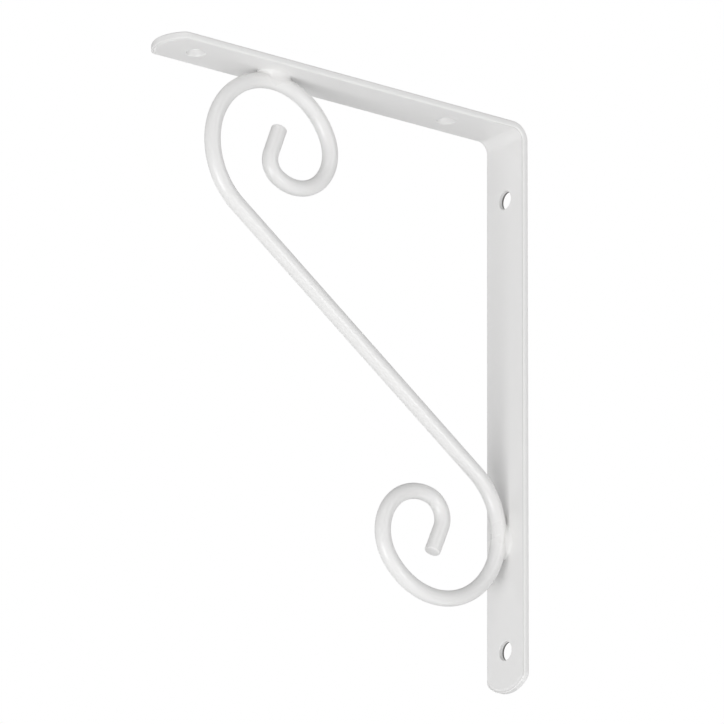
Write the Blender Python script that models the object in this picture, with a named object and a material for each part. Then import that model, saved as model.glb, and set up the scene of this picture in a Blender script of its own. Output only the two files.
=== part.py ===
"""White powder-coated steel shelf bracket.

A flat steel bar is bent once into a long wall leg and a shorter shelf leg. A round steel rod, cold bent
into a flat S-shaped scroll, stands in the bar's middle plane. Short weld beads join it to both legs.

Frame: metres, +Z up. The wall is the plane Y = 0 with the room towards -Y, X runs along the wall, and the
origin is on the bar's back face, midway between the two screw holes of the wall leg.
"""
import math

import bmesh
import bpy

MM = 0.001

# The bar: outside lengths of its legs, its section, its bend and its free ends
SHELF_LEG = 150 * MM
WALL_LEG = 200 * MM
BAR_WIDTH = 20 * MM
BAR_THICKNESS = 2.4 * MM
BAR_EDGE_RADIUS = 0.6 * MM
BEND_INNER_RADIUS = 4 * MM
TIP_RADIUS = 13.5 * MM
TIP_CORNER_RADIUS = 3.5 * MM

# Plain round screw holes on the bar's centre line, with softly rounded rims
HOLE_DIAMETER = 6.5 * MM
HOLE_RIM_RADIUS = 0.35 * MM
WALL_HOLES_BELOW_TOP = (25.5 * MM, 185.5 * MM)
SHELF_HOLES_FROM_WALL = (28.5 * MM, 135 * MM)

# The rod: a straight diagonal, then at each end a row of bends (radius, degrees) and a straight end
ROD_DIAMETER = 5.4 * MM
ROD_END_ROUNDING = 0.5 * MM
DIAGONAL_LENGTH = 125.5 * MM
DIAGONAL_SLOPE = 36.2
UPPER_BENDS = ((26.5 * MM, 55), (24.9 * MM, 156), (14.5 * MM, 143), (6.8 * MM, 79.5))
LOWER_BENDS = ((25.1 * MM, 63), (26.0 * MM, 133.5), (15.6 * MM, 142), (7.8 * MM, 98))
UPPER_END = 9.9 * MM
LOWER_END = 9.7 * MM

# The weld beads, one on each side of the rod at both places where it meets the bar. A shift moves a bead
# from the point of contact towards the leg's free end. Root, toe and top are distances from the middle plane.
UPPER_WELD_LENGTH = 14 * MM
UPPER_WELD_SHIFT = -0.2 * MM
LOWER_WELD_LENGTH = 13.4 * MM
LOWER_WELD_SHIFT = 1.6 * MM
WELD_ROOT = 1.6 * MM
WELD_TOE = 4.4 * MM
WELD_TOP = 2.85 * MM
WELD_END_SCALE = 0.45
WELD_HOLLOW = 1.5

# Clearance between neighbouring pieces
GAP = 0.3 * MM

# How finely round shapes are divided
EDGE_STEPS = 2
TIP_STEPS = 14
CORNER_STEPS = 4
BEND_STEPS = 12
HOLE_SIDES = 32
RIM_STEPS = 3
ROD_BEND_STEP = 7.5
ROD_BEVEL_RESOLUTION = 6
WELD_STATIONS = 9
WELD_CURVE_STEPS = 3

HALF_WIDTH = BAR_WIDTH / 2
ROD_RADIUS = ROD_DIAMETER / 2
BEND_OUTER_RADIUS = BEND_INNER_RADIUS + BAR_THICKNESS
BEND_LENGTH = math.pi / 2 * (BEND_INNER_RADIUS + BAR_THICKNESS / 2)
SHELF_FLAT = SHELF_LEG - BEND_OUTER_RADIUS
WALL_FLAT = WALL_LEG - BEND_OUTER_RADIUS
TOP = sum(WALL_HOLES_BELOW_TOP) / 2
# The height of the rod's centre line over the bar's inner face, where the two meet
ROD_STANDOFF = GAP + ROD_RADIUS


def clear_scene():
    for obj in list(bpy.data.objects):
        bpy.data.objects.remove(obj, do_unlink=True)


def powder_coat(name, roughness):
    """White satin powder coat."""
    material = bpy.data.materials.new(name)
    material.use_nodes = True
    shader = material.node_tree.nodes["Principled BSDF"]
    shader.inputs["Base Color"].default_value = (0.83, 0.83, 0.82, 1)
    shader.inputs["Roughness"].default_value = roughness
    shader.inputs["Metallic"].default_value = 0
    return material


def add_object(name, data, material=None):
    obj = bpy.data.objects.new(name, data)
    if material:
        data.materials.append(material)
    bpy.context.scene.collection.objects.link(obj)
    return obj


def ring_mesh(name, rings):
    """A mesh whose surface runs through equally long rings of points, closed by a face at each end."""
    mesh = bpy.data.meshes.new(name)
    shape = bmesh.new()
    loops = [[shape.verts.new(point) for point in ring] for ring in rings]
    for low, high in zip(loops, loops[1:]):
        for k in range(len(low)):
            j = (k + 1) % len(low)
            shape.faces.new((low[k], low[j], high[j], high[k]))
    shape.faces.new(loops[0][::-1])
    shape.faces.new(loops[-1])
    finish_mesh(shape, mesh)
    return mesh


def finish_mesh(shape, mesh):
    """Turn every face outwards and shade the rounded ones smooth."""
    bmesh.ops.recalc_face_normals(shape, faces=shape.faces)
    shape.to_mesh(mesh)
    shape.free()
    mesh.shade_smooth()
    mesh.set_sharp_from_angle(angle=math.radians(35))


# The bar

def tip_outline(inset):
    """Half of a free end, from its straight side to its middle, as (across, distance from the tip).

    The end is an arc of TIP_RADIUS, and a small corner arc joins it to the side. An inset outline has the
    same centres and smaller radii.
    """
    corner = TIP_CORNER_RADIUS
    corner_across = HALF_WIDTH - corner
    corner_ahead = math.sqrt((TIP_RADIUS - corner) ** 2 - corner_across ** 2)
    turn = math.atan2(corner_ahead, corner_across)
    points = []
    for k in range(CORNER_STEPS):
        angle = turn * k / CORNER_STEPS
        across = corner_across + (corner - inset) * math.cos(angle)
        ahead = corner_ahead + (corner - inset) * math.sin(angle)
        points.append((across, TIP_RADIUS - ahead))
    for k in range(TIP_STEPS // 2 + 1):
        angle = turn + (math.pi / 2 - turn) * k / (TIP_STEPS // 2)
        across = (TIP_RADIUS - inset) * math.cos(angle)
        ahead = (TIP_RADIUS - inset) * math.sin(angle)
        points.append((across, TIP_RADIUS - ahead))
    return points


def side_stations(inset):
    """One side of the flat blank, as (across, run): run is measured along the bar from the shelf tip."""
    length = SHELF_FLAT + BEND_LENGTH + WALL_FLAT
    tip = tip_outline(inset)
    side = [(across, ahead) for across, ahead in reversed(tip)]
    for k in range(BEND_STEPS + 1):
        side.append((HALF_WIDTH - inset, SHELF_FLAT + BEND_LENGTH * k / BEND_STEPS))
    side += [(across, length - ahead) for across, ahead in tip]
    return side


def on_bar(across, run, depth):
    """A point of the flat blank carried to its place on the bent bar; depth is from the outer face."""
    if run <= SHELF_FLAT:
        y, z = run - SHELF_LEG, -depth
    elif run >= SHELF_FLAT + BEND_LENGTH:
        y, z = -depth, -BEND_OUTER_RADIUS - (run - SHELF_FLAT - BEND_LENGTH)
    else:
        angle = (run - SHELF_FLAT) / BEND_LENGTH * math.pi / 2
        radius = BEND_OUTER_RADIUS - depth
        y = -BEND_OUTER_RADIUS + radius * math.sin(angle)
        z = -BEND_OUTER_RADIUS + radius * math.cos(angle)
    return across, y, z + TOP


def bar_layers():
    """The blank's outlines from its outer to its inner face, as (inset, depth): the edges are rounded."""
    turns = [math.pi / 2 * k / EDGE_STEPS for k in range(EDGE_STEPS + 1)]
    outer = [(BAR_EDGE_RADIUS * (1 - math.sin(a)), BAR_EDGE_RADIUS * (1 - math.cos(a))) for a in turns]
    inner = [(inset, BAR_THICKNESS - depth) for inset, depth in reversed(outer)]
    return outer + inner


def bar_mesh(name):
    """The bent bar: rounded edges between two faces, and each face a row of flat strips across the bar."""
    shape = bmesh.new()
    loops = []
    for inset, depth in bar_layers():
        side = side_stations(inset)
        right = [shape.verts.new(on_bar(across, run, depth)) for across, run in side]
        left = [shape.verts.new(on_bar(-across, run, depth)) for across, run in side[1:-1]]
        loops.append(right + left[::-1])
    for low, high in zip(loops, loops[1:]):
        for k in range(len(low)):
            j = (k + 1) % len(low)
            shape.faces.new((low[k], low[j], high[j], high[k]))
    count = len(side_stations(0))
    first = len(tip_outline(0))
    last = count - first - 1
    for loop in (loops[0], loops[-1]):
        partner = [loop[0]] + loop[:count - 1:-1] + [loop[count - 1]]
        shape.faces.new(partner[first::-1] + loop[1:first + 1])
        for k in range(first, last):
            shape.faces.new((loop[k], loop[k + 1], partner[k + 1], partner[k]))
        shape.faces.new(loop[last:count] + partner[count - 2:last - 1:-1])
    mesh = bpy.data.meshes.new(name)
    finish_mesh(shape, mesh)
    return mesh


def hole_cutter(name):
    """A turned spool along Z, centred in the bar's thickness: a straight bore that flares at both faces."""
    bore = HOLE_DIAMETER / 2
    rim = HOLE_RIM_RADIUS
    half = BAR_THICKNESS / 2
    beyond = 1 * MM
    rim_turn = math.radians(60)
    profile = []
    for k in range(RIM_STEPS + 1):
        angle = rim_turn * k / RIM_STEPS
        profile.append((bore + rim * (1 - math.cos(angle)), half - rim * (1 - math.sin(angle))))
    flare = bore + rim
    profile += [(flare, half + rim / 2), (flare, half + beyond)]
    profile = [(radius, -height) for radius, height in reversed(profile)] + profile
    rings = []
    for radius, height in profile:
        angles = [2 * math.pi * k / HOLE_SIDES for k in range(HOLE_SIDES)]
        rings.append([(radius * math.cos(a), radius * math.sin(a), height) for a in angles])
    return ring_mesh(name, rings)


def cut_screw_holes(bar):
    """Cut the four screw holes: two through the wall leg along Y, two through the shelf leg along Z."""
    middle = BAR_THICKNESS / 2
    mesh = hole_cutter("screw hole cutter")
    places = [("wall", (0, -middle, TOP - below), math.pi / 2) for below in WALL_HOLES_BELOW_TOP]
    places += [("shelf", (0, -out, TOP - middle), 0) for out in SHELF_HOLES_FROM_WALL]
    for number, (leg, place, tilt) in enumerate(places):
        cutter = add_object(f"{leg}_hole_cutter_{number + 1}", mesh)
        cutter.location = place
        cutter.rotation_euler = (tilt, 0, 0)
        cutter.hide_render = True
        cutter.display_type = "WIRE"
        cut = bar.modifiers.new(f"{leg} hole {number + 1}", "BOOLEAN")
        cut.operation = "DIFFERENCE"
        cut.object = cutter


# The rod

def scroll_points(heading, bends, end_length, end_steps):
    """Half of the rod's centre line in the YZ plane, from the middle of the diagonal to the rod's end."""
    y = DIAGONAL_LENGTH / 2 * math.cos(heading)
    z = DIAGONAL_LENGTH / 2 * math.sin(heading)
    points = [(y, z)]
    for radius, degrees in bends:
        steps = math.ceil(degrees / ROD_BEND_STEP)
        turn = math.radians(degrees) / steps
        chord = 2 * radius * math.sin(turn / 2)
        for _ in range(steps):
            heading -= turn / 2
            y += chord * math.cos(heading)
            z += chord * math.sin(heading)
            heading -= turn / 2
            points.append((y, z))
    for before_end in end_steps:
        reach = end_length - before_end
        points.append((y + reach * math.cos(heading), z + reach * math.sin(heading)))
    return points


def rod_end_steps():
    """The rounded rim of a rod's cut end, as (distance before the end, radius of the rod there)."""
    steps = []
    for k in range(RIM_STEPS + 1):
        angle = math.pi / 2 * k / RIM_STEPS
        radius = ROD_RADIUS - ROD_END_ROUNDING * (1 - math.cos(angle))
        steps.append((ROD_END_ROUNDING * (1 - math.sin(angle)), radius))
    return steps


def rod_centre_line():
    """The rod's centre line, from its upper to its lower end, standing clear of both legs by the gap."""
    end_steps = [before for before, _ in rod_end_steps()]
    heading = math.pi - math.radians(DIAGONAL_SLOPE)
    upper = scroll_points(heading, UPPER_BENDS, UPPER_END, end_steps)
    lower = scroll_points(heading + math.pi, LOWER_BENDS, LOWER_END, end_steps)
    shift_y = -BAR_THICKNESS - ROD_STANDOFF - max(y for y, _ in lower)
    shift_z = TOP - BAR_THICKNESS - ROD_STANDOFF - max(z for _, z in upper)
    return [(y + shift_y, z + shift_z) for y, z in upper[::-1] + lower]


def rod_curve(name):
    line = rod_centre_line()
    curve = bpy.data.curves.new(name, "CURVE")
    curve.dimensions = "3D"
    curve.twist_mode = "MINIMUM"
    curve.bevel_depth = ROD_RADIUS
    curve.bevel_resolution = ROD_BEVEL_RESOLUTION
    curve.use_fill_caps = True
    spline = curve.splines.new("POLY")
    spline.points.add(len(line) - 1)
    for point, (y, z) in zip(spline.points, line):
        point.co = (0, y, z, 1)
    rim = [radius / ROD_RADIUS for _, radius in rod_end_steps()]
    for k, scale in enumerate(rim[::-1]):
        spline.points[k].radius = scale
        spline.points[-1 - k].radius = scale
    spline.use_smooth = True
    return curve


# The weld beads

def weld_section(rise, scale):
    """A bead's section beside the rod, as (across, height over the bar's face).

    It has a flat foot over the face, a hollow outer side and a side that follows the rod. rise is how far
    the rod's centre line has left its lowest height, and scale shrinks the bead towards its ends.
    """
    centre = ROD_STANDOFF + rise
    clear = ROD_RADIUS + GAP
    toe = WELD_ROOT + (WELD_TOE - WELD_ROOT) * scale
    top = WELD_ROOT + (WELD_TOP - WELD_ROOT) * scale
    top_height = centre - math.sqrt(clear ** 2 - top ** 2)
    points = [(WELD_ROOT, GAP)]
    for k in range(WELD_CURVE_STEPS + 1):
        t = k / WELD_CURVE_STEPS
        across = toe + (top - toe) * (1 - (1 - t) ** 2)
        height = GAP + (top_height - GAP) * t ** WELD_HOLLOW
        points.append((across, height))
    for k in range(1, WELD_CURVE_STEPS + 1):
        across = top + (WELD_ROOT - top) * k / WELD_CURVE_STEPS
        points.append((across, centre - math.sqrt(clear ** 2 - across ** 2)))
    return points


def weld_mesh(name, contact, outward, away, side, length, shift, bend_radius):
    """One bead: sections carried along the line where the rod meets the bar.

    contact is that line's middle as (y, z), outward points along the leg to its free end, away points from
    the bar to the rod, and side is +1 for the bead on the +X side and -1 for the other.
    """
    rings = []
    for k in range(WELD_STATIONS):
        part = 2 * k / (WELD_STATIONS - 1) - 1
        reach = shift + part * length / 2
        rise = bend_radius - math.sqrt(bend_radius ** 2 - reach ** 2)
        scale = WELD_END_SCALE + (1 - WELD_END_SCALE) * math.sqrt(1 - part ** 2)
        ring = []
        for across, height in weld_section(rise, scale):
            y = contact[0] + outward[0] * reach + away[0] * height
            z = contact[1] + outward[1] * reach + away[1] * height
            ring.append((side * across, y, z))
        rings.append(ring)
    return ring_mesh(name, rings)


def add_welds(place, contact, outward, away, length, shift, bend_radius, material):
    for hand, side in (("right", 1), ("left", -1)):
        name = f"{place}_weld_{hand}"
        mesh = weld_mesh(name, contact, outward, away, side, length, shift, bend_radius)
        add_object(name, mesh, material)


clear_scene()
bar = add_object("mounting_bar", bar_mesh("mounting_bar"), powder_coat("coated bar", 0.42))
cut_screw_holes(bar)
add_object("scroll_rod", rod_curve("scroll_rod"), powder_coat("coated rod", 0.40))

rod_line = rod_centre_line()
upper_contact = (max(rod_line, key=lambda point: point[1])[0], TOP - BAR_THICKNESS)
lower_contact = (-BAR_THICKNESS, max(rod_line, key=lambda point: point[0])[1])
weld_coat = powder_coat("coated weld", 0.44)
add_welds("upper", upper_contact, (-1, 0), (0, -1), UPPER_WELD_LENGTH, UPPER_WELD_SHIFT,
          UPPER_BENDS[1][0], weld_coat)
add_welds("lower", lower_contact, (0, -1), (-1, 0), LOWER_WELD_LENGTH, LOWER_WELD_SHIFT,
          LOWER_BENDS[1][0], weld_coat)
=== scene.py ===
"""The white scroll shelf bracket as it looks: coated bar, rod and weld beads, in a plain white studio."""
import math

import bmesh
import bpy
import numpy as np
from mathutils import Matrix, Vector


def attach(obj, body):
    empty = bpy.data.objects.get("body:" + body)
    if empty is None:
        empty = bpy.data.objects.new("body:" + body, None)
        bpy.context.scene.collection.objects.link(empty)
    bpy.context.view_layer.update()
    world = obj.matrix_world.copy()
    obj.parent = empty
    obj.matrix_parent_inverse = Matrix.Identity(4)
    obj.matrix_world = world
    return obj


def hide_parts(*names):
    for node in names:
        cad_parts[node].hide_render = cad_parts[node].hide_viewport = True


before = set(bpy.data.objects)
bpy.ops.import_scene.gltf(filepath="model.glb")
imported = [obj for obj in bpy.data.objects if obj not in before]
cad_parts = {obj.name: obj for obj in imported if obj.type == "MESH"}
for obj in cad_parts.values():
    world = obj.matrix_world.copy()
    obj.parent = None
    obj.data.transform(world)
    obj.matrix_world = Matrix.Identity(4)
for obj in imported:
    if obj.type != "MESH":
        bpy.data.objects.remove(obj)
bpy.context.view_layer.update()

MM = 0.001

# The bar, with the sizes of its CAD solid
SHELF_LEG = 150 * MM
WALL_LEG = 200 * MM
BAR_WIDTH = 20 * MM
BAR_THICKNESS = 2.4 * MM
BEND_INNER_RADIUS = 4 * MM
TIP_RADIUS = 13.5 * MM
TIP_CORNER_RADIUS = 3.5 * MM
HOLE_DIAMETER = 6.5 * MM
HOLE_RIM_RADIUS = 0.35 * MM
WALL_HOLES_BELOW_TOP = (25.5 * MM, 185.5 * MM)
SHELF_HOLES_FROM_WALL = (28.5 * MM, 135 * MM)

# Its edges, finer than the solid's. The tips are punched, which leaves a sharper edge with a groove beside it
OUTER_EDGE_RADIUS = 0.6 * MM
INNER_EDGE_RADIUS = 0.9 * MM
TIP_BURR_RADIUS = 0.3 * MM
TIP_GROOVE_DEPTH = 0.24 * MM
TIP_GROOVE_WIDTH = 1.0 * MM
TIP_GROOVE_LEAN = 0.6
TIP_GROOVE_POWER = 1.5
TIP_BLEND_POWER = 1.5

# The rod. Its bends are (radius, angle in degrees), from the straight diagonal to each end
ROD_DIAMETER = 5.4 * MM
ROD_END_ROUNDING = 0.5 * MM
DIAGONAL_LENGTH = 125.5 * MM
DIAGONAL_SLOPE = 36.2
UPPER_BENDS = ((26.5 * MM, 55), (24.9 * MM, 156), (14.5 * MM, 143), (6.8 * MM, 79.5))
LOWER_BENDS = ((25.1 * MM, 63), (26.0 * MM, 133.5), (15.6 * MM, 142), (7.8 * MM, 98))
UPPER_END = 9.9 * MM
LOWER_END = 9.7 * MM

# The weld beads. A shift moves a bead from the point of contact towards the leg's free end, and a toe is how
# far from the middle plane the bead runs out on the bar. A bead sinks into the steel that it joins
UPPER_WELD_LENGTH = 14 * MM
UPPER_WELD_SHIFT = -0.2 * MM
UPPER_WELD_TOE = 5.3 * MM
LOWER_WELD_LENGTH = 13.4 * MM
LOWER_WELD_SHIFT = 1.6 * MM
LOWER_WELD_TOE = 4.3 * MM
WELD_SINK = 0.25 * MM
WELD_TOE_SINK = 0.02 * MM
WELD_ROD_SINK = 0.03 * MM
WELD_ROD_REACH = 0.12
WELD_ROD_NEAR = 4 * MM
WELD_FULLNESS = 0.9
WELD_NOSE_POWER = 12
WELD_RIPPLE = 0.012
WELD_RIPPLE_LENGTH = 2.8 * MM

# The photographer's view, in metres and degrees. The azimuth turns from straight in front to the right
VIEW_TARGET = Vector((0.00054, -0.06465, 0.00947))
VIEW_AZIMUTH = 52.185
VIEW_ELEVATION = -16.779
VIEW_ROLL = 0.434
VIEW_DISTANCE = 1.6428
VIEW_LENS = 244.41

# How finely round shapes are divided
EDGE_STEPS = 8
GROOVE_STEPS = 12
TIP_STEPS = 40
CORNER_STEPS = 14
BEND_STEPS = 40
PLATE_CELLS = 12
PLATE_RINGS = (0, 0.15, 0.4, 0.7, 1)
RIM_STEPS = 8
ROD_SIDES = 96
ROD_BEND_STEP = 1.5
DIAGONAL_STEPS = 48
WELD_STATIONS = 72
WELD_ARC_STEPS = 24
SUPPORT = 0.1 * MM
MERGE_DISTANCE = 0.001 * MM

HALF_WIDTH = BAR_WIDTH / 2
ROD_RADIUS = ROD_DIAMETER / 2
BEND_OUTER_RADIUS = BEND_INNER_RADIUS + BAR_THICKNESS
BEND_LENGTH = math.pi / 2 * (BEND_INNER_RADIUS + BAR_THICKNESS / 2)
SHELF_FLAT = SHELF_LEG - BEND_OUTER_RADIUS
WALL_FLAT = WALL_LEG - BEND_OUTER_RADIUS
BAR_RUN = SHELF_FLAT + BEND_LENGTH + WALL_FLAT
TOP = sum(WALL_HOLES_BELOW_TOP) / 2
FACE_INSET = INNER_EDGE_RADIUS + TIP_GROOVE_WIDTH + 2 * SUPPORT
FACE_EDGE = HALF_WIDTH - FACE_INSET
PLATE_REACH = 8 * MM
HOLE_MOUTH = HOLE_DIAMETER / 2 + HOLE_RIM_RADIUS + SUPPORT


# Meshes from grids of points

def grid_faces(rows, columns, wrap=False):
    """The four-cornered faces of a grid of points; wrap joins its last column to its first."""
    row = np.arange(rows - 1)[:, None]
    column = np.arange(columns if wrap else columns - 1)[None, :]
    after = (column + 1) % columns
    corners = (row * columns + column, row * columns + after,
               (row + 1) * columns + after, (row + 1) * columns + column)
    return np.stack(corners, axis=-1).reshape(-1, 4)


def piece_from_patches(name, patches, coat, nodes):
    """One closed mesh from grids of points that meet edge to edge.

    Points that two grids share are merged, and all faces turn outwards.
    """
    points, faces, start = [], [], 0
    for patch, wrap in patches:
        rows, columns = patch.shape[:2]
        points.append(patch.reshape(-1, 3))
        faces.append(grid_faces(rows, columns, wrap) + start)
        start += rows * columns
    mesh = bpy.data.meshes.new(name)
    mesh.from_pydata(np.concatenate(points), [], np.concatenate(faces))
    shape = bmesh.new()
    shape.from_mesh(mesh)
    bmesh.ops.remove_doubles(shape, verts=shape.verts, dist=MERGE_DISTANCE)
    bmesh.ops.recalc_face_normals(shape, faces=shape.faces)
    shape.to_mesh(mesh)
    shape.free()
    mesh.shade_smooth()
    mesh.materials.append(coat)
    piece = bpy.data.objects.new(name, mesh)
    bpy.context.scene.collection.objects.link(piece)
    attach(piece, "root")
    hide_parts(*nodes)


# The bar

def tip_outline(inset):
    """Half of a free end as arrays (across, distance from the tip), from the straight side to the middle.

    A corner arc, then the end's own arc. An inset outline keeps both centres and has smaller radii; the inset
    is one number or an array along the outline.
    """
    inset = np.broadcast_to(inset, CORNER_STEPS + TIP_STEPS + 1)
    corner_across = HALF_WIDTH - TIP_CORNER_RADIUS
    corner_ahead = math.sqrt((TIP_RADIUS - TIP_CORNER_RADIUS) ** 2 - corner_across ** 2)
    turn = math.atan2(corner_ahead, corner_across)
    corner = np.linspace(0, turn, CORNER_STEPS, endpoint=False)
    arc = np.linspace(turn, math.pi / 2, TIP_STEPS + 1)
    small, large = TIP_CORNER_RADIUS - inset[:CORNER_STEPS], TIP_RADIUS - inset[CORNER_STEPS:]
    across = np.concatenate([corner_across + small * np.cos(corner), large * np.cos(arc)])
    ahead = np.concatenate([corner_ahead + small * np.sin(corner), large * np.sin(arc)])
    across[-1] = 0
    return across, TIP_RADIUS - ahead


def hole_runs():
    """How far along the flat blank each hole's centre lies, from the shelf leg's tip."""
    shelf = [SHELF_LEG - out for out in reversed(SHELF_HOLES_FROM_WALL)]
    wall = [SHELF_FLAT + BEND_LENGTH + below - BEND_OUTER_RADIUS for below in WALL_HOLES_BELOW_TOP]
    return shelf, wall


def plate_runs(centre):
    """The rows that cross the rectangular plate around one hole."""
    return centre + PLATE_REACH * np.linspace(-1, 1, PLATE_CELLS + 1)


def straight_runs():
    """The rows of the bar between its tips: those of the hole plates and of the bend."""
    shelf, wall = hole_runs()
    bend = SHELF_FLAT + BEND_LENGTH * np.linspace(0, 1, BEND_STEPS + 1)
    return np.concatenate([plate_runs(c) for c in shelf] + [bend] + [plate_runs(c) for c in wall])


def bar_side(tip_inset, side_inset):
    """One side of the flat blank as arrays (across, run), from the middle of one tip to the other's."""
    across, ahead = tip_outline(tip_inset)
    straight = straight_runs()
    side = np.full(len(straight), HALF_WIDTH - side_inset)
    return (np.concatenate([across[::-1], side, across]),
            np.concatenate([ahead[::-1], straight, BAR_RUN - ahead]))


def bend_blank(across, run, depth):
    """Carries points of the flat blank to the bent bar: a straight leg, a quarter turn, a straight leg."""
    turn = np.clip((run - SHELF_FLAT) / BEND_LENGTH, 0, 1) * math.pi / 2
    radius = BEND_OUTER_RADIUS - depth
    y = -BEND_OUTER_RADIUS + radius * np.sin(turn) + np.minimum(run - SHELF_FLAT, 0)
    z = -BEND_OUTER_RADIUS + radius * np.cos(turn) - np.maximum(run - SHELF_FLAT - BEND_LENGTH, 0)
    return np.stack(np.broadcast_arrays(across, y, z + TOP), axis=-1)


def rounded_edge(radius, steps):
    """A quarter circle from a flat to a wall, as arrays (inset, depth); each radius of an array is a column.

    A point just beyond each of its ends keeps the shading of the flats flat.
    """
    radius = np.atleast_1d(radius)[None]
    turn = np.linspace(0, math.pi / 2, steps + 1)[:, None]
    inset = np.concatenate([radius + SUPPORT, radius * (1 - np.sin(turn)), 0 * radius])
    depth = np.concatenate([0 * radius, radius * (1 - np.cos(turn)), radius + SUPPORT])
    return inset, depth


def bar_section(share):
    """The section of the bar's edge from the outer face to the inner one, as columns (inset, depth).

    A share of 0 is a long side, with rolled edges. A share of 1 is a punched tip: its inner edge is sharper,
    with a shallow groove beside it. The groove is a hump, the sine of pi times a power of the way across it,
    so it is steep on the edge's side; a power of the sine softens both of its ends.
    """
    share = np.atleast_1d(share)[None]
    inner = INNER_EDGE_RADIUS + (TIP_BURR_RADIUS - INNER_EDGE_RADIUS) * share
    outer_inset, outer_depth = rounded_edge(np.full(share.shape[1], OUTER_EDGE_RADIUS), EDGE_STEPS)
    inner_inset, inner_depth = rounded_edge(inner[0], EDGE_STEPS)
    u = np.linspace(0, 1, GROOVE_STEPS + 1)[1:, None]
    groove_inset = inner + SUPPORT + TIP_GROOVE_WIDTH * u
    groove_depth = TIP_GROOVE_DEPTH * np.sin(math.pi * u ** TIP_GROOVE_LEAN) ** TIP_GROOVE_POWER * share
    rim = FACE_INSET + 0 * inner
    inset = np.concatenate([rim, outer_inset, inner_inset[::-1], groove_inset, rim])
    depth = np.concatenate([0 * rim, outer_depth, BAR_THICKNESS - inner_depth[::-1],
                            BAR_THICKNESS - groove_depth, 0 * rim + BAR_THICKNESS])
    return inset, depth


def bar_edge():
    """The bar's edge: its section carried all the way round the outline, across and back.

    The section passes from that of the long sides to that of the punched tips round each tip's corners.
    """
    round_corner = 1 - np.linspace(1, 0, CORNER_STEPS) ** TIP_BLEND_POWER
    tip_inset, tip_depth = bar_section(np.concatenate([round_corner, np.ones(TIP_STEPS + 1)]))
    side_inset, side_depth = (part[:, 0] for part in bar_section(0))
    rows = []
    for tip_in, tip_deep, side_in, side_deep in zip(tip_inset, tip_depth, side_inset, side_depth):
        across, run = bar_side(tip_in, side_in)
        straight = np.full(len(across) - 2 * len(tip_deep), side_deep)
        deep = np.concatenate([tip_deep[::-1], straight, tip_deep])
        rows.append(bend_blank(*(np.concatenate([part, sign * part[-2:0:-1]])
                                 for part, sign in ((across, -1), (run, 1), (deep, 1)))))
    return np.array(rows)


def face_strips(depth):
    """The plain parts of one face, between the hole plates: rows across the bar at each point of its side."""
    across, run = bar_side(FACE_INSET, FACE_INSET)
    columns = np.linspace(-1, 1, PLATE_CELLS + 1)
    ends = [0] + [c + side * PLATE_REACH for leg in hole_runs() for c in leg for side in (-1, 1)] + [BAR_RUN]
    strips = []
    for low, high in zip(ends[::2], ends[1::2]):
        keep = (run > low - MERGE_DISTANCE) & (run < high + MERGE_DISTANCE)
        strips.append(bend_blank(across[keep, None] * columns, run[keep, None], depth))
    return strips


def plate_border():
    """The border of a hole's rectangular plate, once round, as arrays (across, along)."""
    side = np.linspace(-1, 1, PLATE_CELLS + 1)[:-1]
    one = np.ones(PLATE_CELLS)
    return (FACE_EDGE * np.concatenate([side, one, -side, -one]),
            PLATE_REACH * np.concatenate([-one, side, one, -side]))


def hole_plate(centre, depth):
    """A rectangular plate with a round hole: rings that pass from the hole's mouth to the plate's border."""
    across, along = plate_border()
    angle = np.arctan2(along, across)
    share = np.array(PLATE_RINGS)[:, None]
    x = HOLE_MOUTH * np.cos(angle) * (1 - share) + across * share
    run = HOLE_MOUTH * np.sin(angle) * (1 - share) + along * share
    return bend_blank(x, centre + run, depth)


def hole_wall(centre):
    """The wall of one hole, with a rounded rim at both faces, turned about the hole's axis."""
    across, along = plate_border()
    angle = np.arctan2(along, across)[None, :]
    inset, depth = rounded_edge(HOLE_RIM_RADIUS, RIM_STEPS)
    radius = HOLE_DIAMETER / 2 + np.concatenate([inset, inset[::-1]])
    depth = np.concatenate([depth, BAR_THICKNESS - depth[::-1]])
    return bend_blank(radius * np.cos(angle), centre + radius * np.sin(angle), depth)


def make_bar(coat):
    """The bent bar: its edge, both faces in strips and hole plates, and the walls of its holes."""
    holes = [centre for leg in hole_runs() for centre in leg]
    patches = [(bar_edge(), True)] + [(hole_wall(centre), True) for centre in holes]
    for depth in (0, BAR_THICKNESS):
        patches += [(strip, False) for strip in face_strips(depth)]
        patches += [(hole_plate(centre, depth), True) for centre in holes]
    return piece_from_patches("coated_bar", patches, coat, ["mounting_bar"])


# The rod

def half_rod(heading, bends, end_length):
    """Half of the rod's centre line, in rows (y, z, heading), from beside the diagonal's middle to one end.

    Each bend is an arc that turns clockwise. A short straight end follows the last one.
    """
    reach = DIAGONAL_LENGTH / 2 * np.linspace(0, 1, DIAGONAL_STEPS + 1)[1:]
    parts = [np.stack([reach * math.cos(heading), reach * math.sin(heading), 0 * reach + heading], axis=1)]
    y, z = parts[0][-1, :2]
    for radius, degrees in bends:
        steps = math.ceil(degrees / ROD_BEND_STEP)
        after = heading - math.radians(degrees) * np.arange(1, steps + 1) / steps
        along_y = y + radius * (np.sin(heading) - np.sin(after))
        along_z = z + radius * (np.cos(after) - np.cos(heading))
        parts.append(np.stack([along_y, along_z, after], axis=1))
        y, z, heading = parts[-1][-1]
    reach = end_length - ROD_END_ROUNDING
    parts.append(np.array([[y + reach * math.cos(heading), z + reach * math.sin(heading), heading]]))
    return np.concatenate(parts)


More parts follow.
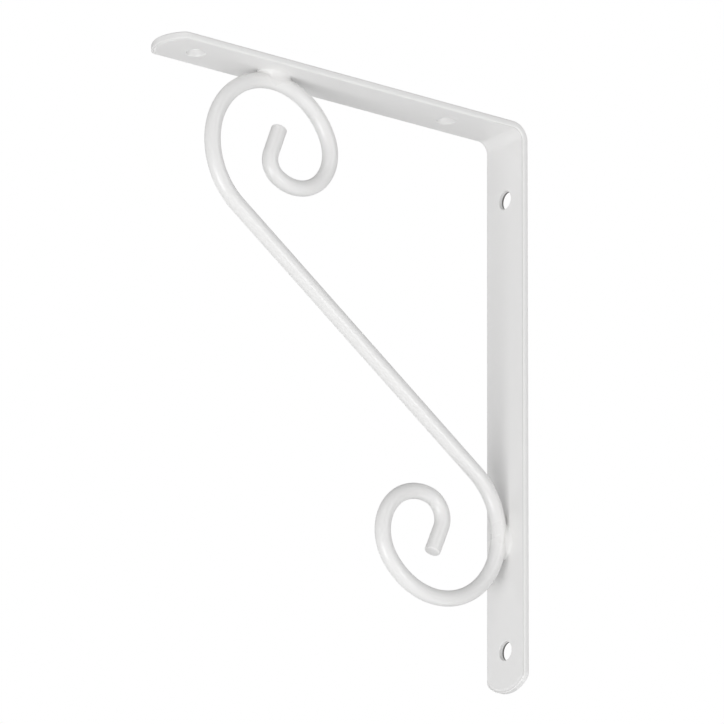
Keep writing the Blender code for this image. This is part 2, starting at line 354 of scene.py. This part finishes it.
def rod_centre_line():
    """The rod's centre line from its upper to its lower end, in rows (y, z, heading).

    The two halves are put together and shifted until the rod rests on both legs.
    """
    heading = math.pi - math.radians(DIAGONAL_SLOPE)
    upper = half_rod(heading, UPPER_BENDS, UPPER_END)
    lower = half_rod(heading + math.pi, LOWER_BENDS, LOWER_END)
    shift = np.array([-BAR_THICKNESS - ROD_RADIUS - lower[:, 0].max(),
                      TOP - BAR_THICKNESS - ROD_RADIUS - upper[:, 1].max(), 0])
    upper = upper[::-1] + np.array([0, 0, math.pi])
    return np.concatenate([upper, lower]) + shift


def rings(places, radii):
    """Circles of the given radii in X and the line's own normal, one at each place (y, z, heading)."""
    angle = np.linspace(0, 2 * math.pi, ROD_SIDES, endpoint=False)[None, :]
    y, z, heading = (places[:, k, None] for k in range(3))
    radius = np.asarray(radii)[:, None]
    across, out = radius * np.cos(angle), radius * np.sin(angle)
    return np.stack([across, y - out * np.sin(heading), z + out * np.cos(heading)], axis=-1)


def cut_end(place, sign):
    """Rings that close a cut end: a quarter circle for its rounded rim, then a flat face to its middle."""
    turn = np.linspace(0, math.pi / 2, RIM_STEPS + 1)[1:]
    ahead = np.concatenate([ROD_END_ROUNDING * np.sin(turn), np.full(3, ROD_END_ROUNDING)])
    radius = ROD_RADIUS - ROD_END_ROUNDING * (1 - np.cos(turn))
    radius = np.concatenate([radius, radius[-1] * np.array([0.94, 0.5, 0])])
    y, z, heading = place
    places = np.stack([y + sign * ahead * math.cos(heading), z + sign * ahead * math.sin(heading),
                       np.full(len(ahead), heading)], axis=1)
    return rings(places, radius)


def make_rod(coat):
    """The rod: circles carried along its centre line, and a cut end at each end."""
    line = rod_centre_line()
    body = rings(line, np.full(len(line), ROD_RADIUS))
    whole = np.concatenate([cut_end(line[0], -1)[::-1], body, cut_end(line[-1], 1)])
    return piece_from_patches("coated_rod", [(whole, True)], coat, ["scroll_rod"])


# The weld beads

def weld_contacts():
    """Where the rod touches the shelf leg and the wall leg, as points (y, z) on the faces of the bar."""
    line = rod_centre_line()
    return (np.array([line[line[:, 1].argmax(), 0], TOP - BAR_THICKNESS]),
            np.array([-BAR_THICKNESS, line[line[:, 0].argmax(), 1]]))


def bead_sections(height, toe):
    """The sections of one bead beside the rod, as arrays (across, height over the bar's face).

    height is that of the rod's centre over the face, and the bead runs out on the face at a distance toe from
    the middle plane. Its hollow side is the arc that touches the face there and the rod, so its radius
    follows from both. The rest runs inside the bar, the middle plane and the rod, where it doesn't show.
    """
    height, toe = height[:, None], toe[:, None]
    fillet = (toe ** 2 + height ** 2 - ROD_RADIUS ** 2) / (2 * (height + ROD_RADIUS))
    lean = np.arctan2(height - fillet, toe)
    turn = 1.5 * math.pi - (math.pi / 2 + lean) * np.linspace(0, 1, WELD_ARC_STEPS + 1)
    inner, past = ROD_RADIUS - WELD_ROD_SINK, lean - WELD_ROD_REACH
    zero = np.zeros_like(height)
    across = np.concatenate([toe + SUPPORT * 2, toe + fillet * np.cos(turn),
                             inner * np.cos(past), zero, zero], axis=1)
    over = np.concatenate([zero - WELD_TOE_SINK, fillet + fillet * np.sin(turn),
                           height - inner * np.sin(past),
                           height - ROD_RADIUS + WELD_SINK, zero - WELD_SINK], axis=1)
    return across, over


def bead_grid(line, contact, outward, away, side, length, shift, toe):
    """One bead: its sections carried along the contact of rod and bar, with both ends drawn to a point.

    contact is the middle of that contact as (y, z), outward points along the leg to its free end, away from
    the bar to the rod, and side is +1 for the bead on the +X side. The bead is widest at its middle, where it
    runs out at a distance toe from the middle plane, and at each end it only bridges the gap under the rod.
    """
    along = (line[:, :2] - contact) @ outward
    height = (line[:, :2] - contact) @ away
    near = height < ROD_RADIUS + WELD_ROD_NEAR
    order = np.argsort(along[near])
    part = np.sin(np.linspace(-math.pi / 2, math.pi / 2, WELD_STATIONS + 2)[1:-1])
    reach = shift + part * length / 2
    rod_height = np.interp(reach, along[near][order], height[near][order])
    full = rod_height + ROD_RADIUS
    bridge = full - np.sqrt(full * 2 * ROD_RADIUS)
    swell = (1 - part ** 2) ** WELD_FULLNESS
    ripple = 1 + WELD_RIPPLE * np.sin(2 * math.pi * reach / WELD_RIPPLE_LENGTH + side)
    across, over = bead_sections(rod_height, bridge + (toe * ripple - bridge) * swell)
    nose = np.sqrt(1 - part ** WELD_NOSE_POWER)[:, None]
    points = [side * nose * across]
    points += [contact[k] + outward[k] * reach[:, None] + away[k] * over for k in range(2)]
    grid = np.stack(points, axis=-1)
    caps = grid.mean(axis=1, keepdims=True).repeat(grid.shape[1], axis=1)
    return np.concatenate([caps[:1], grid, caps[-1:]])


def make_welds(coat):
    """The four beads: one on each side of the rod, at each of its two points of contact."""
    line = rod_centre_line()
    upper, lower = weld_contacts()
    out, down = np.array([-1, 0]), np.array([0, -1])
    for hand, side in (("right", 1), ("left", -1)):
        for place, contact, outward, away, length, shift, toe in (
                ("upper", upper, out, down, UPPER_WELD_LENGTH, UPPER_WELD_SHIFT, UPPER_WELD_TOE),
                ("lower", lower, down, out, LOWER_WELD_LENGTH, LOWER_WELD_SHIFT, LOWER_WELD_TOE)):
            grid = bead_grid(line, contact, outward, away, side, length, shift, toe)
            piece_from_patches(f"{place}_weld_bead_{hand}", [(grid, True)], coat, [f"{place}_weld_{hand}"])


# The powder coat

class Wire:
    """A socket of a node tree. Sums and products of wires add Math nodes, and node() adds any other node."""

    def __init__(self, tree, socket=None):
        self.tree, self.socket = tree, socket

    def node(self, kind, settings=None, values=None, output=0):
        """A new node: its settings first, then its sockets' values or links. Gives the wire of one output."""
        made = self.tree.nodes.new(kind)
        for name, value in (settings or {}).items():
            setattr(made, name, value)
        for key, value in (values or {}).items():
            if isinstance(value, Wire):
                self.tree.links.new(value.socket, made.inputs[key])
            else:
                made.inputs[key].default_value = value
        return Wire(self.tree, made.outputs[output]) if len(made.outputs) else None

    def maths(self, operation, *values):
        """A Math node on wires and numbers."""
        return self.node("ShaderNodeMath", {"operation": operation}, dict(enumerate(values)))

    def vectors(self, operation, *values, output=0):
        """A Vector Math node on wires and triples of numbers. Its output named Value is a number."""
        return self.node("ShaderNodeVectorMath", {"operation": operation}, dict(enumerate(values)), output)

    def __add__(self, other):
        return self.maths("ADD", self, other)

    def __mul__(self, other):
        return self.maths("MULTIPLY", self, other)

    def __sub__(self, other):
        return self.maths("SUBTRACT", self, other)

    def __rsub__(self, other):
        return self.maths("SUBTRACT", other, self)

    __radd__, __rmul__ = __add__, __mul__

    def noise(self, place, scale, detail=2.0, roughness=0.5):
        """Soft noise from 0 to 1, with about scale lumps in a metre."""
        return self.node("ShaderNodeTexNoise", values={
            "Vector": place, "Scale": scale, "Detail": detail, "Roughness": roughness})

    def mix(self, share, first, second):
        """Blends two colours: the first where share is 0, the second where it is 1."""
        return self.node("ShaderNodeMix", {"data_type": "RGBA"}, {0: share, 6: first, 7: second}, output=2)

    def fade(self, value, start, end):
        """1 at start and 0 at end, with a soft curve between them."""
        return self.node("ShaderNodeMapRange", {"interpolation_type": "SMOOTHSTEP"}, {
            "Value": value, "From Min": start, "From Max": end, "To Min": 1.0, "To Max": 0.0})


WHITE = (0.83, 0.826, 0.820, 1)
THIN_WHITE = (0.79, 0.788, 0.785, 1)
POOLED_WHITE = (0.85, 0.846, 0.836, 1)
# A darker grey, painted on a hairline along the bar's inner edges
HAIRLINE_GREY = (0.60, 0.595, 0.585, 1)
# Near black: painted shade for the back part of the wall leg's bores
PAINTED_BORE_SHADE = (0.10, 0.098, 0.095, 1)

# How many lumps the coat's drifts and mottle have in a metre, and its swell in one lump of its peel
DRIFT_SCALE = 38.0
MOTTLE_SCALE = 260.0
SWELL_SCALE = 0.22

# How much each of them counts in the coat's colour, roughness and bump
DRIFT_IN_COLOUR = 0.5
MOTTLE_IN_COLOUR = 0.4
POOLED_IN_COLOUR = 0.8
DRIFT_IN_GLOSS = 0.06
MOTTLE_IN_GLOSS = 0.05
POOLED_IN_GLOSS = 0.05
SWELL_IN_BUMP = 1.5

# Fades of the coat's marks, each from full to none. Pooled coat: by distance from a weld. Painted shade in
# the bores: by distance outside the bore's wall, and by depth in the bar. Hairline: by distance from it, and
# from the wall
POOLED_FADE = (3 * MM, 11 * MM)
BORE_FADE = (0.05 * MM, 0.2 * MM)
BORE_DEPTH_FADE = (-0.6 * MM, -1.1 * MM)
HAIRLINE_FADE = (0.07 * MM, 0.16 * MM)
HAIRLINE_END_FADE = (9 * MM, 20 * MM)
HAIRLINE_TURN = math.radians(25)


def painted_bore_shade(wire, place):
    """Painted shade, near black: 1 on the back part of the wall leg's bores, 0 elsewhere."""
    flat = wire.vectors("MULTIPLY", place, (1, 0, 1))
    depth = wire.vectors("DOT_PRODUCT", place, (0, 1, 0), output="Value")
    inside = 0
    for below in WALL_HOLES_BELOW_TOP:
        radius = wire.vectors("DISTANCE", flat, (0, 0, TOP - below), output="Value")
        inside = wire.fade(radius, *(HOLE_DIAMETER / 2 + past for past in BORE_FADE)) + inside
    return inside * wire.fade(depth, *BORE_DEPTH_FADE)


def dark_hairline(wire, place):
    """A darker hairline painted along the bar's inner edges: 1 on the hairline, 0 elsewhere.

    A point's level is its distance from the bend's axis in the bend, and on a leg its height over that axis.
    So the hairline keeps to one place (across, level) all along. On the shelf leg it fades out past the bend.
    """
    from_axis = wire.vectors("SUBTRACT", place, (0, -BEND_OUTER_RADIUS, TOP - BEND_OUTER_RADIUS))
    above = wire.vectors("MAXIMUM", from_axis, (0, 0, 0))
    level = wire.vectors("LENGTH", wire.vectors("MULTIPLY", above, (0, 1, 1)), output="Value")
    across = wire.vectors("DOT_PRODUCT", place, (1, 0, 0), output="Value")
    from_wall = wire.vectors("DOT_PRODUCT", place, (0, -1, 0), output="Value")
    spot = wire.node("ShaderNodeCombineXYZ", values={"X": wire.maths("ABSOLUTE", across), "Y": level})
    crest = (HALF_WIDTH - INNER_EDGE_RADIUS * (1 - math.sin(HAIRLINE_TURN)),
             BEND_INNER_RADIUS + INNER_EDGE_RADIUS * (1 - math.cos(HAIRLINE_TURN)), 0)
    far = wire.vectors("DISTANCE", spot, crest, output="Value")
    return wire.fade(far, *HAIRLINE_FADE) * wire.fade(from_wall, *HAIRLINE_END_FADE)


def powder_coat(name, peel_size, peel_height, roughness):
    """Satin white powder coat: two close whites in broad drifts and a fine mottle, creamier at the welds.

    It is darker on a hairline of the bar's inner edges, and the back part of the wall leg's bores has painted
    shade. A fine orange peel of about peel_size and a slower swell of the surface are its bump.
    """
    material = bpy.data.materials.new(name)
    material.use_nodes = True
    tree = material.node_tree
    tree.nodes.clear()
    wire = Wire(tree)
    place = wire.node("ShaderNodeTexCoord", output="Object")
    drift = wire.noise(place, DRIFT_SCALE)
    mottle = wire.noise(place, MOTTLE_SCALE, detail=3.0)
    peel = wire.noise(place, 1 / peel_size, detail=1.0)
    swell = wire.noise(place, SWELL_SCALE / peel_size, detail=1.0)

    pooled = 0
    for y, z in weld_contacts():
        far = wire.vectors("DISTANCE", place, (0, y, z), output="Value")
        pooled = wire.fade(far, *POOLED_FADE) + pooled
    colour = wire.mix(drift * DRIFT_IN_COLOUR + mottle * MOTTLE_IN_COLOUR, THIN_WHITE, WHITE)
    colour = wire.mix(pooled * POOLED_IN_COLOUR, colour, POOLED_WHITE)
    # A darker grey hairline is painted along the bar's inner edges
    colour = wire.mix(dark_hairline(wire, place), colour, HAIRLINE_GREY)
    # Painted shade: the back part of the wall leg's bores is painted near black
    colour = wire.mix(painted_bore_shade(wire, place), colour, PAINTED_BORE_SHADE)
    gloss = roughness + DRIFT_IN_GLOSS * drift + MOTTLE_IN_GLOSS * mottle - POOLED_IN_GLOSS * pooled
    bump = wire.node("ShaderNodeBump", values={
        "Strength": 1.0, "Distance": peel_height, "Height": peel + swell * SWELL_IN_BUMP})
    shader = wire.node("ShaderNodeBsdfPrincipled", values={
        "Base Color": colour, "Roughness": gloss, "Normal": bump, "IOR": 1.5})
    wire.node("ShaderNodeOutputMaterial", values={"Surface": shader})
    return material


# The studio

# How strong the surround's light is: high up, and low down before and behind the bracket
SURROUND_HIGH = 0.4
SURROUND_LOW_BEFORE = 0.57
SURROUND_LOW_BEHIND = 1.6

# Where the surround's light changes, as sines of the rise and cosines of the angle to the photographer's side
HORIZON_FADE = (-0.25, 0.2)
SIDES_FADE = (-0.4, 0.4)
DARK_GAP_FADE = (-0.97, -0.8)
DARK_GAP = 0.9

# Each softbox: its name, azimuth, elevation, distance and power, and whether it shows in the coat's gloss
SOFTBOX_SIZE = 0.7
SOFTBOXES = (
    ("front_low_softbox", 10, -30, 2.2, 14, True),
    ("front_right_low_softbox", 31, -30, 2.2, 8.5, True),
    ("right_low_softbox", 90, -30, 2.2, 8.6, True),
    ("back_right_softbox", 110, 20, 2.2, 6, True),
    ("high_softbox", 50, 45, 2.2, 3.8, True),
    ("left_softbox", -50, 20, 2.2, 1.6, True),
    ("bottom_softbox", 160, -55, 1.6, 1.6, True),
    ("behind_softbox", 225, 30, 2.2, 12, False),
)

FLOOR_HEIGHT = -1.75
FLOOR_REACH = 6.0
FLOOR_GLOW = 0.75
FLOOR_PALE = (0.86, 0.86, 0.86, 1)
FLOOR_PALER = (0.90, 0.90, 0.90, 1)


def view_axes():
    """The camera's right, up and backward directions, from its azimuth, elevation and roll."""
    turn, lift, roll = (math.radians(a) for a in (VIEW_AZIMUTH, VIEW_ELEVATION, VIEW_ROLL))
    back = Vector((math.sin(turn) * math.cos(lift), -math.cos(turn) * math.cos(lift), math.sin(lift)))
    right = Vector((math.cos(turn), math.sin(turn), 0))
    up = back.cross(right)
    return (right * math.cos(roll) + up * math.sin(roll), up * math.cos(roll) - right * math.sin(roll), back)


def add_camera():
    """The photographer's camera: its own axes as a matrix, at its distance behind the point it looks at."""
    camera = bpy.data.objects.new("camera", bpy.data.cameras.new("camera"))
    camera.data.lens = VIEW_LENS
    axes = view_axes()
    place = Matrix(axes).transposed().to_4x4()
    place.translation = VIEW_TARGET + axes[2] * VIEW_DISTANCE
    camera.matrix_world = place
    bpy.context.scene.collection.objects.link(camera)
    bpy.context.scene.camera = camera


def add_softbox(name, azimuth, elevation, distance, power, mirrored):
    """A square area light that faces the bracket from an azimuth and elevation, unseen by the camera.

    Where it isn't mirrored, it lights the coat without showing in its gloss.
    """
    turn, lift = math.radians(azimuth), math.radians(elevation)
    towards = Vector((math.sin(turn) * math.cos(lift), -math.cos(turn) * math.cos(lift), math.sin(lift)))
    light = bpy.data.lights.new(name, "AREA")
    light.shape = "SQUARE"
    light.size = SOFTBOX_SIZE
    light.energy = power
    softbox = bpy.data.objects.new(name, light)
    place = towards.to_track_quat("Z", "Y").to_matrix().to_4x4()
    place.translation = VIEW_TARGET + towards * distance
    softbox.matrix_world = place
    softbox.visible_camera = False
    softbox.visible_glossy = mirrored
    bpy.context.scene.collection.objects.link(softbox)


def add_white_surround():
    """A white world: the camera sees pure white, and the bracket gets soft light.

    The light is one strength high up. At and under the horizon it is stronger, as from a lit white sweep, and
    grows from the photographer's side to the side behind the bracket. A small dark gap straight behind the
    bracket darkens its outline, where its surfaces turn away and mirror what is behind them.
    """
    world = bpy.data.worlds.new("white_surround")
    world.use_nodes = True
    world.node_tree.nodes.clear()
    wire = Wire(world.node_tree)
    towards = wire.node("ShaderNodeTexCoord", output="Generated")
    facing = wire.vectors("DOT_PRODUCT", towards, tuple(view_axes()[2]), output="Value")
    rise = wire.vectors("DOT_PRODUCT", towards, (0, 0, 1), output="Value")
    behind = (SURROUND_LOW_BEHIND - SURROUND_LOW_BEFORE) * wire.fade(facing, *SIDES_FADE)
    low = (SURROUND_LOW_BEFORE - SURROUND_HIGH) + behind
    gap = DARK_GAP * wire.fade(facing, *DARK_GAP_FADE)
    strength = (SURROUND_HIGH + low * wire.fade(rise, *HORIZON_FADE)) * (1 - gap)
    light = wire.node("ShaderNodeBackground", values={"Color": (1, 1, 1, 1), "Strength": strength})
    seen = wire.node("ShaderNodeBackground", values={"Color": (1, 1, 1, 1), "Strength": 1.0})
    camera_ray = wire.node("ShaderNodeLightPath", output="Is Camera Ray")
    both = wire.node("ShaderNodeMixShader", values={0: camera_ray, 1: light, 2: seen})
    wire.node("ShaderNodeOutputWorld", values={"Surface": both})
    bpy.context.scene.world = world


def add_floor():
    """A pale studio floor far below the hanging bracket.

    For the camera alone it glows, so it looks pale without lighting the bracket.
    """
    material = bpy.data.materials.new("pale_floor")
    material.use_nodes = True
    material.node_tree.nodes.clear()
    wire = Wire(material.node_tree)
    place = wire.node("ShaderNodeTexCoord", output="Object")
    colour = wire.mix(wire.noise(place, 3.0), FLOOR_PALE, FLOOR_PALER)
    lit = wire.node("ShaderNodeBsdfPrincipled", values={"Base Color": colour, "Roughness": 0.8})
    glow = wire.node("ShaderNodeEmission", values={"Color": colour, "Strength": 1.0})
    camera_ray = wire.node("ShaderNodeLightPath", output="Is Camera Ray")
    shader = wire.node("ShaderNodeMixShader", values={0: camera_ray * FLOOR_GLOW, 1: lit, 2: glow})
    wire.node("ShaderNodeOutputMaterial", values={"Surface": shader})
    material.cycles.emission_sampling = "NONE"
    corners = ((-1, -1), (1, -1), (1, 1), (-1, 1))
    mesh = bpy.data.meshes.new("floor")
    points = [(x * FLOOR_REACH, y * FLOOR_REACH, FLOOR_HEIGHT) for x, y in corners]
    mesh.from_pydata(points, [], [(0, 1, 2, 3)])
    mesh.materials.append(material)
    floor = bpy.data.objects.new("floor", mesh)
    bpy.context.scene.collection.objects.link(floor)


make_bar(powder_coat("powder_coat_on_bar", 1.5 * MM, 0.005 * MM, 0.28))
make_rod(powder_coat("powder_coat_on_rod", 1.2 * MM, 0.004 * MM, 0.26))
make_welds(powder_coat("powder_coat_on_welds", 1.9 * MM, 0.006 * MM, 0.34))

add_camera()
add_floor()
add_white_surround()
for softbox in SOFTBOXES:
    add_softbox(*softbox)
bpy.context.scene.view_settings.view_transform = "Standard"
